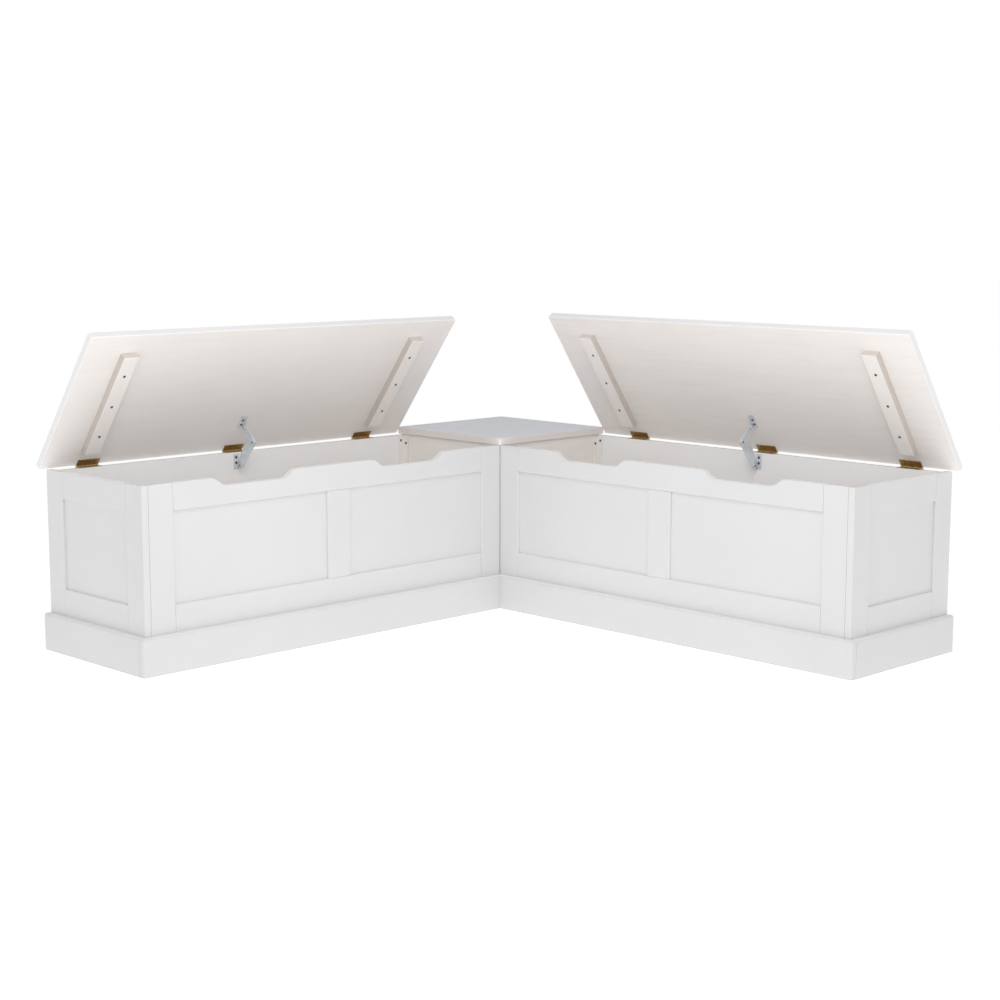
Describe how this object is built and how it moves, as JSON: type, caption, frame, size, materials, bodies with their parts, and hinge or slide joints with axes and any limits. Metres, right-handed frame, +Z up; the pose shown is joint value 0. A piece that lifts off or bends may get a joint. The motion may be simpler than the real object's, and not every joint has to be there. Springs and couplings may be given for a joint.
{
  "type": "corner storage bench",
  "caption": "L-shaped corner bench on a plinth with framed and panelled fronts, hinged lids over storage on both arms, folding lid stays and a fixed corner seat.",
  "frame": {"origin": "middle of the bounding box in plan, on the floor", "axes": "+Z up; +X along the right arm away from the room corner; -Y along the left arm away from the room corner; the walls stand behind +Y and -X"},
  "size_m": [1.623, 1.6236, 0.8106],
  "materials": {
    "painted_wood": "white satin paint over softwood, faint grain",
    "brass": "satin brass, slightly coppery",
    "zinc_plate": "dull zinc plate",
    "screw_steel": "dark steel"
  },
  "bodies": {
    "carcass": {"body_screws": "screw_steel", "corner_cleats": "painted_wood", "corner_post": "painted_wood", "corner_seat": "painted_wood", "left_back_board": "painted_wood", "left_bottom_board": "painted_wood", "left_cleats": "painted_wood", "left_divider": "painted_wood", "left_end_back_stile": "painted_wood", "left_end_bottom_rail": "painted_wood", "left_end_front_stile": "painted_wood", "left_end_panel": "painted_wood", "left_end_top_rail": "painted_wood", "left_front_bottom_rail": "painted_wood", "left_front_inner_panel": "painted_wood", "left_front_inner_stile": "painted_wood", "left_front_muntin": "painted_wood", "left_front_outer_panel": "painted_wood", "left_front_outer_stile": "painted_wood", "left_front_top_rail": "painted_wood", "left_hinge_leaves": "brass", "left_plinth_end": "painted_wood", "left_plinth_front": "painted_wood", "left_stay_base_bracket": "zinc_plate", "right_back_board": "painted_wood", "right_bottom_board": "painted_wood", "right_cleats": "painted_wood", "right_divider": "painted_wood", "right_end_back_stile": "painted_wood", "right_end_bottom_rail": "painted_wood", "right_end_front_stile": "painted_wood", "right_end_panel": "painted_wood", "right_end_top_rail": "painted_wood", "right_front_bottom_rail": "painted_wood", "right_front_inner_panel": "painted_wood", "right_front_inner_stile": "painted_wood", "right_front_muntin": "painted_wood", "right_front_outer_panel": "painted_wood", "right_front_outer_stile": "painted_wood", "right_front_top_rail": "painted_wood", "right_hinge_leaves": "brass", "right_plinth_end": "painted_wood", "right_plinth_front": "painted_wood", "right_stay_base_bracket": "zinc_plate"},
    "right_lid": {"right_lid_board": "painted_wood", "right_lid_inner_batten": "painted_wood", "right_lid_outer_batten": "painted_wood", "right_lid_screws": "screw_steel", "right_lid_hinge_leaves": "brass", "right_stay_lid_bracket": "zinc_plate"},
    "right_stay_lower": {"right_stay_lower_link": "zinc_plate"},
    "right_stay_upper": {"right_stay_upper_link": "zinc_plate"},
    "left_lid": {"left_lid_board": "painted_wood", "left_lid_inner_batten": "painted_wood", "left_lid_outer_batten": "painted_wood", "left_lid_screws": "screw_steel", "left_lid_hinge_leaves": "brass", "left_stay_lid_bracket": "zinc_plate"},
    "left_stay_lower": {"left_stay_lower_link": "zinc_plate"},
    "left_stay_upper": {"left_stay_upper_link": "zinc_plate"}
  },
  "joints": [
    {"name": "right_lid_hinge", "type": "hinge", "parent": "carcass", "child": "right_lid", "pos_m": [0.22152, 0.79773, 0.4516], "axis": [-1, 0, 0], "range_deg": [-55, 20]},
    {"name": "right_stay_base_pivot", "type": "hinge", "parent": "carcass", "child": "right_stay_lower", "pos_m": [0.20152, 0.76473, 0.4146], "axis": [-1, 0, 0], "range_deg": [-55, 20]},
    {"name": "right_stay_elbow", "type": "hinge", "parent": "right_stay_lower", "child": "right_stay_upper", "pos_m": [0.20152, 0.70844, 0.48383], "axis": [-1, 0, 0], "range_deg": [-20, 55]},
    {"name": "left_lid_hinge", "type": "hinge", "parent": "carcass", "child": "left_lid", "pos_m": [-0.79798, -0.22177, 0.4516], "axis": [0, -1, 0], "range_deg": [-53, 22]},
    {"name": "left_stay_base_pivot", "type": "hinge", "parent": "carcass", "child": "left_stay_lower", "pos_m": [-0.76498, -0.21777, 0.4146], "axis": [0, -1, 0], "range_deg": [-53, 22]},
    {"name": "left_stay_elbow", "type": "hinge", "parent": "left_stay_lower", "child": "left_stay_upper", "pos_m": [-0.7063, -0.21777, 0.48183], "axis": [0, -1, 0], "range_deg": [-22, 53]}
  ],
  "couplings": [
    {"joint": "right_stay_base_pivot", "follows": "right_lid_hinge", "ratio": 1},
    {"joint": "right_stay_elbow", "follows": "right_lid_hinge", "ratio": -1},
    {"joint": "left_stay_base_pivot", "follows": "left_lid_hinge", "ratio": 1},
    {"joint": "left_stay_elbow", "follows": "left_lid_hinge", "ratio": -1}
  ]
}
